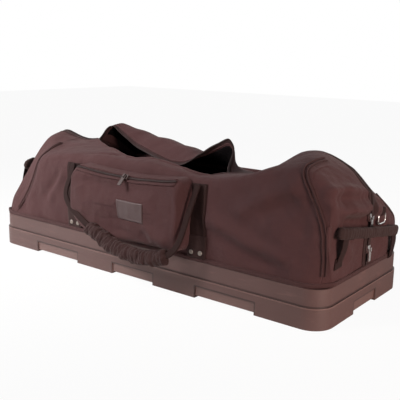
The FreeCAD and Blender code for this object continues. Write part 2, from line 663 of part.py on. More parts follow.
# End handles. Two webbing legs stand on sewn anchors and carry a padded bar across the end.
def end_handle(side, sign):
    bar_half = size("bar_length") / 2
    leg_half = size("leg_width") / 2
    bar_high = size("bar_height") / 2
    leg_high = size(side + "_leg_height")
    standoff = size("bar_standoff")
    bar = block(standoff, standoff + size("bar_depth"), -bar_half, bar_half, -bar_high, bar_high)
    bar = bar.makeFillet(size("bar_round"), bar.Edges)
    legs = []
    anchors = []
    leg_face = size("anchor_thickness") + size("leg_clearance")
    for place in (-1, 1):
        middle = place * (bar_half - size("leg_inset"))
        bar_middle = standoff + size("bar_depth") / 2
        half_leg = size("leg_thickness") / 2
        corners = [V(leg_face, 0, -bar_high - leg_high), V(leg_face + 2 * half_leg, 0, -bar_high - leg_high),
                   V(bar_middle + half_leg, 0, 0), V(bar_middle - half_leg, 0, 0)]
        leg = Part.Face(Part.makePolygon(corners + corners[:1])).extrude(V(0, 2 * leg_half, 0))
        leg.translate(V(0, middle - leg_half, 0))
        legs.append(leg.cut(bar))
        anchors.append(block(0, size("anchor_thickness"), middle - leg_half, middle + leg_half,
                             -bar_high - leg_high - size("anchor_height") / 2,
                             -bar_high - leg_high + size("anchor_height") / 2))
    turn = FreeCAD.Rotation(X_AXIS, -size(side + "_bar_angle"))
    if sign < 0:
        turn = FreeCAD.Rotation(Z_AXIS, 180)
    place = FreeCAD.Placement(V(sign * half_length, 0, size(side + "_bar_height")), turn)
    for label, pieces in (("handle_bar", [bar]), ("handle_legs", legs), ("handle_anchors", anchors)):
        group = pieces[0] if len(pieces) == 1 else Part.makeCompound(
            [solid for piece in pieces for solid in piece.Solids])
        group.Placement = place
        if label == "handle_anchors":
            group = group.common(block(-reach, reach, -reach, reach, binding_top, reach))
        code_node("%s_%s" % (side, label), group)


end_handle("left", -1)
end_handle("right", 1)


# Rings for a shoulder strap, each in a folded webbing tab on the end.
def ring_shape(wire):
    half_y = (size("ring_width") - size("ring_wire")) / 2
    low = size("ring_wire") - size("ring_depth")
    corners = [V(0, -half_y, 0), V(0, half_y, 0), V(0, half_y, low), V(0, -half_y, low)]
    bends = [bent_corner(corners[index - 1], corners[index], corners[(index + 1) % 4], size("ring_radius"))
             for index in range(4)]
    edges = []
    for index in range(4):
        edges.append(Part.Arc(*bends[index]).toShape())
        edges.append(Part.LineSegment(bends[index][2], bends[(index + 1) % 4][0]).toShape())
    start = bends[0][2]
    profile = Part.Wire(Part.Circle(start, Y_AXIS, wire / 2).toShape())
    return Part.Wire(edges[1:] + edges[:1]).makePipeShell([profile], True, False)


for side, sign in (("left", -1), ("right", 1)):
    middle = V(sign * (half_length + size("tab_depth") / 2), size("ring_place"), size(side + "_ring_height"))
    ring = ring_shape(size("ring_wire"))
    ring.translate(middle)
    code_node(side + "_ring", ring)
    half_tab = size("tab_width") / 2
    tab = block(-size("tab_depth") / 2, size("tab_depth") / 2, -half_tab, half_tab,
                -size("tab_depth") / 2, size("tab_height") - size("tab_depth") / 2)
    bore = Part.makeCylinder(size("ring_wire") / 2 + size("ring_clearance"), 2 * size("tab_width"),
                             V(0, -size("tab_width"), 0), Y_AXIS)
    tab = tab.cut(bore)
    tab.translate(middle)
    code_node(side + "_ring_tab", tab)


# Every object must be sound before any file is written.
doc.recompute()
for item in doc.Objects:
    if "Invalid" in item.State or "Error" in item.State:
        raise RuntimeError("failed object: " + item.Label)
for item in nodes:
    if item.Shape.isNull() or not item.Shape.isValid():
        raise RuntimeError("failed shape: " + item.Label)
os.makedirs("parts", exist_ok=True)
for item in nodes:
    item.Shape.exportStep(os.path.join("parts", item.Label + ".step"))
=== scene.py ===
import math

import bmesh
import bpy
import numpy as np
from mathutils import Matrix, Vector
from mathutils.bvhtree import BVHTree


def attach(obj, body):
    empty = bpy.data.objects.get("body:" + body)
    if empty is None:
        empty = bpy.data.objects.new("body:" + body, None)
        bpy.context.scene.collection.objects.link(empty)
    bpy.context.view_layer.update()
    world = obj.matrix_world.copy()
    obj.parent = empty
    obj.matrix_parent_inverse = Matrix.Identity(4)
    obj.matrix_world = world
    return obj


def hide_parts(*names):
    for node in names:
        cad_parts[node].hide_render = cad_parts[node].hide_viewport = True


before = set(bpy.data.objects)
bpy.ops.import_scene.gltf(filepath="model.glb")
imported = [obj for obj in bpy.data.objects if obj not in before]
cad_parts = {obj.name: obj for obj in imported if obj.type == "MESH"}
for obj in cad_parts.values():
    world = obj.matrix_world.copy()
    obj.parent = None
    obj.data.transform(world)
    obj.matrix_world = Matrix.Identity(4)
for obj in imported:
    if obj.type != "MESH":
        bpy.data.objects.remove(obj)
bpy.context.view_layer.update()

# Camera: the photograph's place and turn, solved on the moulded tray's edges, bands and windows.
# Its frame is 400 by 400 pixels, with a focal length of 669 pixels.
camera_data = bpy.data.cameras.new("camera")
camera_data.sensor_width = 36.0
camera_data.lens = 36.0 * 669.28 / 400
camera = bpy.data.objects.new("camera", camera_data)
bpy.context.collection.objects.link(camera)
yaw, pitch, roll = 0.66156, 0.21747, 0.0165
ahead = Vector((-math.sin(yaw) * math.cos(pitch), math.cos(yaw) * math.cos(pitch), -math.sin(pitch)))
level_right = ahead.cross(Vector((0, 0, 1))).normalized()
level_up = level_right.cross(ahead)
right = level_right * math.cos(roll) + level_up * math.sin(roll)
up = level_up * math.cos(roll) - level_right * math.sin(roll)
camera.matrix_world = Matrix.Translation((1.00695, -1.23086, 0.50537)) @ Matrix(
    (right, up, -ahead)).transposed().to_4x4()
camera_data.clip_end = 50
bpy.context.scene.camera = camera


# Shader values: a socket that takes part in sums, and a paint that makes one material from nodes.
class Value:
    def __init__(self, paint, socket):
        self.paint = paint
        self.socket = socket

    def maths(self, operation, *others):
        return self.paint.maths(operation, self, *others)

    def __add__(self, other):
        return self.maths("ADD", other)

    def __sub__(self, other):
        return self.maths("SUBTRACT", other)

    def __mul__(self, other):
        return self.maths("MULTIPLY", other)

    def __truediv__(self, other):
        return self.maths("DIVIDE", other)

    def near(self, middle, half):
        return self.maths("COMPARE", middle, half)

    def above(self, limit):
        return self.maths("GREATER_THAN", limit)

    def below(self, limit):
        return self.maths("LESS_THAN", limit)

    def size(self):
        return self.maths("ABSOLUTE")

    __radd__ = __add__
    __rmul__ = __mul__


class Paint:
    def __init__(self, name):
        self.material = bpy.data.materials.new(name)
        self.material.use_nodes = True
        self.tree = self.material.node_tree
        self.shader = self.tree.nodes["Principled BSDF"]

    def node(self, kind, sockets=None, out=0, **settings):
        node = self.tree.nodes.new(kind)
        for key, setting in settings.items():
            setattr(node, key, setting)
        for key, value in (sockets or {}).items():
            if isinstance(value, Value):
                self.tree.links.new(value.socket, node.inputs[key])
            else:
                node.inputs[key].default_value = value
        return Value(self, node.outputs[out])

    def place(self, kind="Object", scale=(1, 1, 1)):
        spot = self.node("ShaderNodeTexCoord", out=kind)
        return self.node("ShaderNodeMapping", {"Vector": spot, "Scale": scale})

    def apart(self, kind="Object", axes=range(3)):
        return [self.node("ShaderNodeSeparateXYZ", {"Vector": self.place(kind)}, out=axis) for axis in axes]

    def noise(self, size, detail=3.0, rough=0.55, stretch=(1, 1, 1)):
        scale = tuple(share / size for share in stretch)
        return self.node("ShaderNodeTexNoise", {
            "Vector": self.place(scale=scale), "Scale": 1.0, "Detail": detail, "Roughness": rough})

    def wave(self, axis, pitch):
        return self.node("ShaderNodeTexWave", {
            "Vector": self.place("UV"), "Scale": 0.314 / pitch, "Distortion": 0.0},
            out=1, bands_direction=axis, wave_profile="SIN")

    def maths(self, operation, *values):
        return self.node("ShaderNodeMath", dict(enumerate(values)), operation=operation)

    def blend(self, share, first, second):
        mixed = self.node("ShaderNodeMix", {"Factor": share}, out=2, data_type="RGBA")
        for key, colour in ((6, first), (7, second)):
            socket = mixed.socket.node.inputs[key]
            if isinstance(colour, Value):
                self.tree.links.new(colour.socket, socket)
            else:
                socket.default_value = (*colour, 1)
        return mixed

    def bump(self, height, distance, strength=1.0):
        return self.node("ShaderNodeBump", {"Height": height, "Distance": distance, "Strength": strength})

    def set(self, **looks):
        for key, value in looks.items():
            socket = self.shader.inputs[key.replace("_", " ")]
            if isinstance(value, Value):
                self.tree.links.new(value.socket, socket)
            elif isinstance(value, tuple) and len(value) == 3:
                socket.default_value = (*value, 1)
            else:
                socket.default_value = value
        return self.material


# Floor and light: a plain pale floor, one large soft lamp high on the left, a wide fill from the front
# and a small warm one low on the right. The background is white for the camera and for reflections.
floor_mesh = bpy.data.meshes.new("floor")
form = bmesh.new()
bmesh.ops.create_grid(form, x_segments=1, y_segments=1, size=6)
form.to_mesh(floor_mesh)
form.free()
floor = bpy.data.objects.new("floor", floor_mesh)
bpy.context.collection.objects.link(floor)
floor_paint = Paint("floor")
rays = floor_paint.node("ShaderNodeLightPath", out="Is Camera Ray")
shine = floor_paint.node("ShaderNodeEmission", {"Color": (1, 1, 1, 1), "Strength": 1.0})
floor_paint.set(Base_Color=(0.8, 0.8, 0.8), Roughness=0.9, Specular_IOR_Level=0.1)
floor_look = floor_paint.node("ShaderNodeMixShader", {0: rays * 0.94, 2: shine})
floor_paint.tree.links.new(floor_paint.shader.outputs[0], floor_look.socket.node.inputs[1])
floor_paint.tree.links.new(floor_look.socket, floor_paint.tree.nodes["Material Output"].inputs[0])
floor_mesh.materials.append(floor_paint.material)

world = bpy.data.worlds.new("world")
bpy.context.scene.world = world
world.use_nodes = True
sky = world.node_tree
rays = sky.nodes.new("ShaderNodeLightPath")
seen = sky.nodes.new("ShaderNodeMath")
seen.operation = "MAXIMUM"
sky.links.new(rays.outputs["Is Camera Ray"], seen.inputs[0])
sky.links.new(rays.outputs["Is Glossy Ray"], seen.inputs[1])
level = sky.nodes.new("ShaderNodeMapRange")
level.inputs["To Min"].default_value = 0.17
level.inputs["To Max"].default_value = 1.0
sky.links.new(seen.outputs[0], level.inputs["Value"])
sky.links.new(level.outputs[0], sky.nodes["Background"].inputs["Strength"])
sky.nodes["Background"].inputs["Color"].default_value = (1, 1, 1, 1)

for lamp_name, place, aim, size, spread, power, tint in (
        ("key_lamp", (-1.1, -1.6, 1.5), (-0.42, -0.1, 0.08), 0.9, 0.9, 9, (1.0, 0.97, 0.95)),
        ("front_lamp", (-0.3, -2.2, 2.1), (0, 0, 0.15), 1.6, 3.1, 5, (1.0, 0.96, 0.93)),
        ("warm_lamp", (1.9, -0.5, 0.42), (0.46, 0, 0.06), 0.5, 1.2, 4, (1.0, 0.76, 0.66))):
    lamp_data = bpy.data.lights.new(lamp_name, "AREA")
    lamp_data.size = size
    lamp_data.spread = spread
    lamp_data.energy = power
    lamp_data.color = tint
    lamp = bpy.data.objects.new(lamp_name, lamp_data)
    bpy.context.collection.objects.link(lamp)
    lamp.location = place
    lamp.rotation_mode = "QUATERNION"
    lamp.rotation_quaternion = (Vector(aim) - Vector(place)).to_track_quat("-Z", "Y")
bpy.context.scene.view_settings.view_transform = "Standard"


# Moulded tray: one satin plastic moulding with two bands, shallow windows and feet, with a fine grain and
# paler scuffs. Painted shade darkens the groove between the bands and the windows' rims; a painted highlight
# lightens the lower band's top edge and the windows' faces.
def coat_nodes(material, *names):
    for name in names:
        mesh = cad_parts[name].data
        mesh.materials.clear()
        mesh.materials.append(material)


tray_paint = Paint("moulded_tray")
cloud = tray_paint.noise(0.12, 4)
grain = tray_paint.noise(0.0011, 2, 0.6)
scuffs = tray_paint.node("ShaderNodeMapRange", {
    "Value": tray_paint.noise(0.03, 6, 0.7, stretch=(0.35, 1, 2.2)), "From Min": 0.56, "From Max": 0.72})
along, across, above_floor = tray_paint.apart()
WINDOW_TOP, WINDOW_RIM = 0.026, 0.0025
SIDE_WINDOWS = ((-0.2565, 0.0745), (0.0, 0.063), (0.2565, 0.0745))
END_WINDOW_HALF, END_FACE = 0.051, 0.47


def windows(grown):
    mask = across.near(0.0, END_WINDOW_HALF + grown) * along.size().above(END_FACE)
    for middle, half in SIDE_WINDOWS:
        mask = mask + along.near(middle, half + grown)
    return mask * above_floor.below(WINDOW_TOP + grown)


faces, rims = windows(0.0), windows(WINDOW_RIM)
# Painted shade: a dark line along the groove between the bands; painted highlight: a pale line on the lower
# band's top edge.
groove_shade = above_floor.near(0.0455, 0.0016)
edge = above_floor.near(0.0425, 0.0013)
tray_colour = tray_paint.blend(cloud, (0.065, 0.0335, 0.031), (0.096, 0.0505, 0.046))
tray_colour = tray_paint.blend(edge * 0.35, tray_colour, (0.21, 0.125, 0.112))
tray_colour = tray_paint.blend(groove_shade * 0.6, tray_colour, (0.020, 0.011, 0.010))
# Painted shade round the windows' rims, then a painted highlight on the windows' faces.
tray_colour = tray_paint.blend((rims - faces) * 0.7, tray_colour, (0.016, 0.009, 0.008))
tray_colour = tray_paint.blend(faces * 0.3, tray_colour, (0.20, 0.125, 0.112))
tray_colour = tray_paint.blend(scuffs * 0.35, tray_colour, (0.19, 0.105, 0.095))
tray_paint.set(Base_Color=tray_colour, Roughness=0.42 + cloud * 0.12 + scuffs * 0.15,
               Normal=tray_paint.bump(grain, 0.0002, 0.5))
coat_nodes(tray_paint.material, "base_tray")

# Padded board on the tray's floor: covered in plain dark cloth with a short nap.
# It only shows from above, through the open top.
board_paint = Paint("board_cloth")
nap = board_paint.noise(0.0018, 3)
board_paint.set(Base_Color=board_paint.blend(nap, (0.008, 0.007, 0.007), (0.018, 0.016, 0.016)), Roughness=0.95,
                Normal=board_paint.bump(nap, 0.0005, 0.6))
coat_nodes(board_paint.material, "base_board")


# Fabric body: heavy nylon over thin padding, slumped towards the back. Its form is a row of soft
# cross-sections along the case, each with a wall, a rounded eave and a sloping roof on both sides, and the
# main folds are pulled up or pressed in along lines on it. The case's sizes here are in millimetres.
END = 475.0
SILL = 80.0
STEP = 5.0
AROUND = 240
THIRD = AROUND // 3
OUTLINE = 500
stations = np.array([
    # place, foot half; front: belly half, eave half, eave, shoulder half, shoulder; ridge; back: eave, half
    (-475, 160, 148, 98, 176, 52, 206, 212, 168, 120),
    (-466, 172, 152, 105, 190, 56, 232, 248, 181, 140),
    (-440, 177, 150, 113, 206, 60, 268, 289, 193, 160),
    (-420, 179, 158, 118, 212, 60, 284, 297, 197, 166),
    (-395, 180, 165, 127, 218, 64, 280, 286, 201, 171),
    (-350, 180, 176, 158, 238, 84, 266, 272, 204, 173),
    (-300, 180, 182, 172, 252, 90, 266, 280, 205, 174),
    (-240, 180, 182, 175, 262, 90, 270, 278, 203, 177),
    (-120, 180, 182, 177, 270, 90, 275, 279, 203, 177),
    (60, 180, 182, 177, 272, 90, 275, 276, 203, 177),
    (150, 180, 182, 177, 260, 90, 256, 244, 203, 177),
    (185, 180, 182, 177, 258, 90, 252, 236, 203, 177),
    (250, 180, 182, 177, 267, 90, 260, 249, 203, 177),
    (300, 180, 182, 177, 281, 90, 270, 285, 205, 177),
    (361, 180, 182, 175, 298, 90, 314, 318, 203, 176),
    (405, 180, 182, 174, 303, 90, 317, 300, 196, 174),
    (440, 179, 181, 173, 299, 90, 298, 280, 184, 172),
    (462, 170, 178, 170, 288, 86, 277, 254, 172, 158),
    (475, 138, 168, 162, 272, 80, 258, 240, 162, 142),
], float)


def smoothed(values, sigma):
    reach = int(sigma * 3) + 1
    kernel = np.exp(-0.5 * (np.arange(-reach, reach + 1) / sigma) ** 2)
    kernel /= kernel.sum()
    before = 2 * values[:1] - values[reach:0:-1]
    after = 2 * values[-1:] - values[-2:-reach - 2:-1]
    padded = np.concatenate([before, values, after])
    return np.apply_along_axis(lambda column: np.convolve(column, kernel, "valid"), 0, padded)


def along_line(points, count):
    points = np.asarray(points, float)
    steps = np.r_[0, np.cumsum(np.linalg.norm(np.diff(points, axis=0), axis=1))]
    wanted = np.linspace(0, steps[-1], count)
    return np.stack([np.interp(wanted, steps, points[:, axis]) for axis in range(points.shape[1])], 1)


lengths = np.arange(-END, END + 1, STEP)
table = np.stack([np.interp(lengths, stations[:, 0], stations[:, column]) for column in range(1, 10)], 1)
table = smoothed(table, 3.0)
table[0] = stations[0, 1:]
table[-1] = stations[-1, 1:]
sections = []
for foot, belly, front_half, front_eave, shoulder_half, shoulder, ridge, back_eave, back_half in table:
    outline = along_line([
        (-foot, SILL), (-belly, SILL + 0.4 * (front_eave - SILL)), (-front_half, front_eave),
        (-shoulder_half, shoulder), (0, ridge),
        (back_half, back_eave), (foot + 2, SILL + 0.45 * (back_eave - SILL)), (foot, SILL)], OUTLINE)
    outline = smoothed(outline, 13.0)
    outline[0] = (-foot, SILL)
    outline[-1] = (foot, SILL)
    seam = min(150.0, 0.8 * min(front_half, back_half))
    top = np.where(outline[:, 1] > SILL + 60)[0]
    front_index = top[np.argmin(np.abs(outline[top, 0] + seam))]
    back_index = top[np.argmin(np.abs(outline[top, 0] - seam))]
    sections.append(np.concatenate([
        along_line(outline[:front_index + 1], THIRD + 1)[:-1],
        along_line(outline[front_index:back_index + 1], THIRD + 1)[:-1],
        along_line(outline[back_index:], THIRD + 1)]))
sections = np.array(sections)


def soft_body(length, around):
    # Places on the plain form, before its folds, for a place along the case and a share around it.
    row = np.clip((length + END) / STEP, 0, len(lengths) - 1.001)
    column = np.clip(around * AROUND, 0, AROUND - 0.001)
    i, j = row.astype(int), column.astype(int)
    a, b = (row - i)[..., None], (column - j)[..., None]
    flat = ((sections[i, j] * (1 - a) + sections[i + 1, j] * a) * (1 - b)
            + (sections[i, j + 1] * (1 - a) + sections[i + 1, j + 1] * a) * b)
    return np.stack([length, flat[..., 0], flat[..., 1]], -1)


def end_cap(side, around, inward):
    # Places on an end, from its rim (0) to the middle of its foot (1).
    rim = soft_body(np.full_like(around, side * END), around)
    middle = np.array([side * END, 0.0, SILL])
    place = rim + (middle - rim) * inward[..., None]
    place[..., 0] += side * 3.0 * np.sin(np.pi * np.clip(inward * 1.6, 0, 1)) ** 0.8
    return place


# Folds: each is a line on the body, its half width and how far it is pulled out (or pressed in). They
# die out over the last millimetres before a sewn edge, where the cloth is stiff.
STIFF_EDGE = 16.0
folds = [
    ([(478, -118, 232), (478, -60, 219), (478, 0, 209), (478, 56, 188)], 12, 15),
    ([(478, -116, 203), (478, -60, 190), (478, 0, 180), (478, 52, 160)], 13, -13),
    ([(470, -185, 270), (477, -120, 262), (477, -62, 254), (477, 16, 243)], 8, 5),
    ([(470, -180, 254), (477, -120, 246), (477, -62, 238), (477, 16, 228)], 8, -4),
    ([(477, -165, 258), (477, -133, 224), (477, -107, 187)], 8, 5),
    ([(477, -129, 252), (477, -75, 238), (477, -35, 228)], 12, -6),
    ([(477, 60, 232), (477, 68, 200)], 14, 4),
    ([(203, -181, 176), (266, -181, 158), (315, -181, 142), (361, -181, 131), (405, -181, 125)], 11, 8),
    ([(215, -181, 150), (266, -181, 134), (315, -181, 118), (361, -181, 108), (405, -181, 103)], 12, -6),
    ([(425, -178, 273), (367, -181, 249), (312, -181, 220), (270, -181, 190)], 13, 9),
    ([(420, -178, 245), (372, -181, 222), (330, -181, 195)], 13, -6),
    ([(440, -181, 296), (465, -178, 272), (481, -150, 264)], 7, 5),
    ([(445, -175, 250), (430, -181, 215), (425, -181, 170)], 12, -5),
    ([(-241, -181, 221), (-273, -181, 183), (-313, -181, 136)], 9, -6),
    ([(-222, -181, 225), (-254, -181, 185), (-294, -181, 138)], 11, 5),
    ([(-345, -181, 215), (-362, -178, 170), (-372, -176, 125)], 12, 4),
    ([(-316, -178, 235), (-240, -180, 249), (-186, -178, 259)], 4, -4),
    ([(-316, -176, 247), (-240, -176, 261), (-200, -172, 266)], 7, 3),
    ([(-190, -168, 248), (-159, -152, 262), (-109, -150, 271), (-70, -140, 276)], 4, -6),
    ([(-391, -58, 296), (-340, -100, 272), (-290, -150, 252)], 13, -4),
    ([(-391, -30, 298), (-340, -60, 285), (-270, -80, 272)], 12, 4),
    ([(-420, -90, 262), (-445, -120, 220), (-455, -140, 170)], 12, -4),
    ([(355, -20, 310), (300, -60, 285), (240, -100, 268)], 14, 4),
    ([(370, -60, 308), (330, -110, 293), (270, -150, 276)], 12, -3),
    ([(395, -100, 312), (410, -140, 300), (425, -172, 280)], 12, 4),
    ([(400, 20, 305), (440, 60, 265), (470, 90, 215)], 14, -4),
    ([(300, 60, 270), (330, 110, 245), (345, 160, 210)], 13, 4),
    ([(250, 181, 190), (320, 181, 150), (380, 181, 120)], 13, 5),
    ([(-100, 181, 185), (-30, 181, 140), (20, 181, 110)], 13, 5),
    ([(-120, 181, 160), (-60, 181, 125), (-20, 181, 100)], 13, -4),
    ([(60, 181, 190), (90, 181, 150), (140, 181, 118)], 12, 4),
    ([(-300, 181, 185), (-350, 178, 145), (-390, 176, 110)], 13, 5),
    ([(-477, 80, 180), (-477, 30, 160), (-477, -40, 130)], 12, 5),
    ([(480, -134, 224), (481, -82, 214), (481, -38, 204)], 7, 8),
    ([(480, -120, 205), (481, -80, 196), (481, -45, 189)], 7, -5),
    ([(474, -105, 264), (480, -68, 246), (481, -42, 236)], 10, 6),
    ([(462, -181, 268), (478, -158, 232), (480, -140, 186)], 8, 7),
    ([(480, -139, 168), (480, -91, 112)], 9, -3),
    ([(480, -112, 168), (480, -64, 115)], 8, 5),
    ([(480, 30, 150), (480, 70, 100)], 9, -4),
    ([(480, 60, 156), (480, 100, 112)], 8, 4),
    ([(-477, -100, 175), (-477, -70, 140), (-477, -60, 105)], 12, -4),
]


def fold_moves(places, lines):
    moves = np.zeros(places.shape[:-1])
    for line, width, height in lines:
        line = np.array(line, float)
        steps = np.r_[0, np.cumsum(np.linalg.norm(np.diff(line, axis=0), axis=1))]
        nearest = np.full(places.shape[:-1], 1e9)
        spot = np.zeros(places.shape[:-1])
        for index in range(len(line) - 1):
            start, run = line[index], line[index + 1] - line[index]
            share = np.clip(((places - start) @ run) / (run @ run), 0, 1)
            gap = np.linalg.norm(places - start - share[..., None] * run, axis=-1)
            closer = gap < nearest
            nearest = np.where(closer, gap, nearest)
            reached = steps[index] + share * (steps[index + 1] - steps[index])
            spot = np.where(closer, reached / steps[-1], spot)
        fade = np.clip(np.minimum(spot, 1 - spot) * 5 + 0.25, 0, 1)
        moves += height * fade * np.exp(-0.5 * (nearest / width) ** 2)
    return moves


def ripples(places, size, height, seed):
    # Soft uneven swells with no direction, for cloth that doesn't lie flat.
    dice = np.random.default_rng(seed)
    total = np.zeros(places.shape[:-1])
    for _ in range(18):
        way = dice.normal(size=3)
        way *= 2 * np.pi / (size * dice.uniform(0.6, 1.8) * np.linalg.norm(way))
        total += np.sin(places @ way + dice.uniform(0, 7))
    return total * height / 3


def grid_normals(places):
    normals = np.cross(np.gradient(places, axis=1), np.gradient(places, axis=0))
    return normals / np.maximum(np.linalg.norm(normals, axis=-1, keepdims=True), 1e-9)


def moved_out(places, distance):
    return places + grid_normals(places) * np.asarray(distance)[..., None]


def dressed(places, *edges):
    # Folds and swells die out towards the sewn edges that are given.
    near = np.min([np.linalg.norm(places - edge, axis=-1) for edge in edges], 0)
    moves = fold_moves(places, folds) + ripples(places, 95, 1.3, 4) + ripples(places, 34, 0.35, 9)
    return moved_out(places, moves * np.clip(near / STIFF_EDGE, 0, 1))


def cloth_piece(name, grids, body, material, nodes=(), unroll=None, weld=True):
    # One piece made of grids of quads (places in millimetres), with an unrolled map in metres.
    form = bmesh.new()
    unrolled = form.loops.layers.uv.new("UVMap")
    for places in grids:
        rows, columns = places.shape[:2]
        made = bmesh.ops.create_grid(form, x_segments=columns - 1, y_segments=rows - 1, size=1)
        step_u = np.r_[0, np.cumsum(np.linalg.norm(np.diff(places, axis=1), axis=-1).mean(0))] / 1000
        step_v = np.r_[0, np.cumsum(np.linalg.norm(np.diff(places, axis=0), axis=-1).mean(1))] / 1000
        spots = {}
        for vertex in made["verts"]:
            column = round((vertex.co.x + 1) / 2 * (columns - 1))
            row = round((vertex.co.y + 1) / 2 * (rows - 1))
            spots[vertex] = (step_u[column], step_v[row]) if unroll is None else unroll(places[row, column])
            vertex.co = Vector(places[row, column] / 1000)
        for face in {face for vertex in made["verts"] for face in vertex.link_faces}:
            face.smooth = True
            for loop in face.loops:
                loop[unrolled].uv = spots[loop.vert]
    if weld:
        bmesh.ops.remove_doubles(form, verts=form.verts, dist=0.00002)
    mesh = bpy.data.meshes.new(name)
    form.to_mesh(mesh)
    form.free()
    mesh.materials.append(material)
    piece = bpy.data.objects.new(name, mesh)
    bpy.context.collection.objects.link(piece)
    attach(piece, body)
    for node in nodes:
        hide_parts(node)
    return piece


def thicken(piece, thickness):
    solid = piece.modifiers.new("thickness", "SOLIDIFY")
    solid.thickness = thickness / 1000
    solid.offset = -1.0
    solid.use_even_offset = False
    return piece


# Nylon: a coarse basket weave, dull, with a slight sheen and small creases, paler where it is worn.
# The body's and the lining's cloths are made here, and the trims' cloths beside them.
def nylon(name, dark, light, thread=0.0011, sheen=0.08, crease=0.5, gloss=0.16):
    paint = Paint(name)
    cloud = paint.noise(0.09, 5, 0.6)
    fine = paint.noise(0.006, 3)
    rumple = paint.noise(0.028, 3, 0.5)
    warp, weft = paint.wave("X", thread), paint.wave("Y", thread)
    weave = warp + weft - 2 * warp * weft
    colour = paint.blend(cloud * 0.75 + fine * 0.25, dark, light)
    colour = paint.blend(weave * 0.3, colour, tuple(share * 0.6 for share in dark))
    height = weave * 0.0003 + fine * 0.0005 + rumple * (0.006 * crease)
    paint.set(Base_Color=colour, Roughness=0.72 + fine * 0.12, Sheen_Weight=sheen, Sheen_Roughness=0.45,
              Sheen_Tint=(0.75, 0.62, 0.6), Specular_IOR_Level=gloss, Normal=paint.bump(height, 1.0, 0.75))
    return paint.material


body_nylon = nylon("body_nylon", (0.052, 0.0215, 0.0225), (0.080, 0.036, 0.037))
lining_cloth = nylon("lining_cloth", (0.0045, 0.0035, 0.004), (0.010, 0.008, 0.009), 0.0008, 0.0, 0.8, 0.03)

# Body walls, hoods and ends, cut along the case's own seams: two piped corner seams at each end that lean
# towards the top, and the roof seams beside the opening. The left hood's front half runs on to the right.
ROOF_FRONT, ROOF_BACK = 1 / 3, 2 / 3
SEAM_STATION = 430.0
SEAM_HEIGHTS = (80, 110, 150, 187, 211, 235, 268, 302, 330)
SEAMS = {"left": (-428, -412, -388, -372, -364, -358, -354, -352, -350),
         "right": (460, 465, 469, 468, 463, 453, 436, 414, 404)}


def seam_place(side, height):
    return np.interp(height, SEAM_HEIGHTS, SEAMS[side])


def corner_seam(side, sign, around):
    # How far along the case a corner seam runs, at shares around the body.
    return seam_place(side, soft_body(np.full(len(around), sign * SEAM_STATION), around)[:, 2])


def left_mouth(around):
    share = np.clip((around - ROOF_FRONT) * 6, 0, 1)
    return -300.0 + 250.0 * (1 - share) ** 1.3


def right_mouth(around):
    return 185.0 + 10.0 * np.sin(np.pi * np.clip((around - ROOF_FRONT) * 3, 0, 1))


def body_patch(starts, stops, around, columns):
    across = np.linspace(0, 1, columns)[None, :]
    length = starts[:, None] * (1 - across) + stops[:, None] * across
    return soft_body(length, np.repeat(around[:, None], columns, 1))


skins = {}
for name, low_share, high_share, rows, columns, sewn in (
        ("front_wall", 0, ROOF_FRONT, 100, 320, (0, -1)),
        ("back_wall", ROOF_BACK, 1, 70, 280, (0, -1)),
        ("left_hood_cover", ROOF_FRONT, ROOF_BACK, 110, 80, (0,)),
        ("right_hood_cover", ROOF_FRONT, ROOF_BACK, 110, 90, (-1,))):
    around = np.linspace(low_share, high_share, rows)
    heights = soft_body(np.zeros(rows), around)[:, 2]
    starts = right_mouth(around) if name == "right_hood_cover" else seam_place("left", heights)
    stops = left_mouth(around) if name == "left_hood_cover" else seam_place("right", heights)
    patch = body_patch(starts, stops, around, columns)
    skins[name] = dressed(patch, *(patch[:, [column]] for column in sewn))

END_COLUMNS, SHOULDER_ROWS, FACE_ROWS = 240, 22, 55
for side, sign in (("left", -1), ("right", 1)):
    around = np.linspace(0, 1, END_COLUMNS)
    starts = corner_seam(side, sign, around)
    shares = np.linspace(0, 1, SHOULDER_ROWS)[:, None]
    shoulder = soft_body(starts[None, :] + (sign * END - starts)[None, :] * shares,
                         np.repeat(around[None, :], SHOULDER_ROWS, 0))
    inward = np.linspace(0, 0.985, FACE_ROWS + 1)[1:, None]
    face = end_cap(sign, np.repeat(around[None, :], FACE_ROWS, 0), np.repeat(inward, END_COLUMNS, 1))
    whole = np.concatenate([shoulder, face])[:, ::-sign]
    zipper_line = whole * np.array([1, 0, 1])
    skins[side + "_end"] = dressed(whole, whole[:1], zipper_line)

for name, node in (("front_wall", "front_panel"), ("back_wall", "back_panel"),
                   ("left_hood_cover", "left_hood"), ("right_hood_cover", "right_hood"),
                   ("left_end", "left_end_panel"), ("right_end", "right_end_panel")):
    piece = thicken(cloth_piece(name, [skins[name]], "case", body_nylon, [node], weld=False), 5)


# Trims lie on the skins: strips of tape or webbing, and cords carried along a line.
def tree_of(*grids):
    points, faces = [], []
    for places in grids:
        rows, columns = places.shape[:2]
        base = len(points)
        points.extend(map(tuple, places.reshape(-1, 3)))
        corner = (base + np.arange(rows - 1)[:, None] * columns + np.arange(columns - 1)[None, :]).reshape(-1)
        quads = np.stack([corner, corner + 1, corner + columns + 1, corner + columns], 1)
        faces.extend(map(tuple, quads.tolist()))
    return BVHTree.FromPolygons(points, faces)


def lay(tree, places):
    flat = places.reshape(-1, 3)
    spots, normals = np.empty_like(flat), np.empty_like(flat)
    for index, place in enumerate(flat):
        spot, normal, _, _ = tree.find_nearest(Vector(place))
        spots[index], normals[index] = spot, normal
    return spots.reshape(places.shape), normals.reshape(places.shape)


def directions(line, closed=False):
    runs = np.roll(line, -1, 0) - np.roll(line, 1, 0) if closed else np.gradient(line, axis=0)
    return runs / np.maximum(np.linalg.norm(runs, axis=1, keepdims=True), 1e-9)


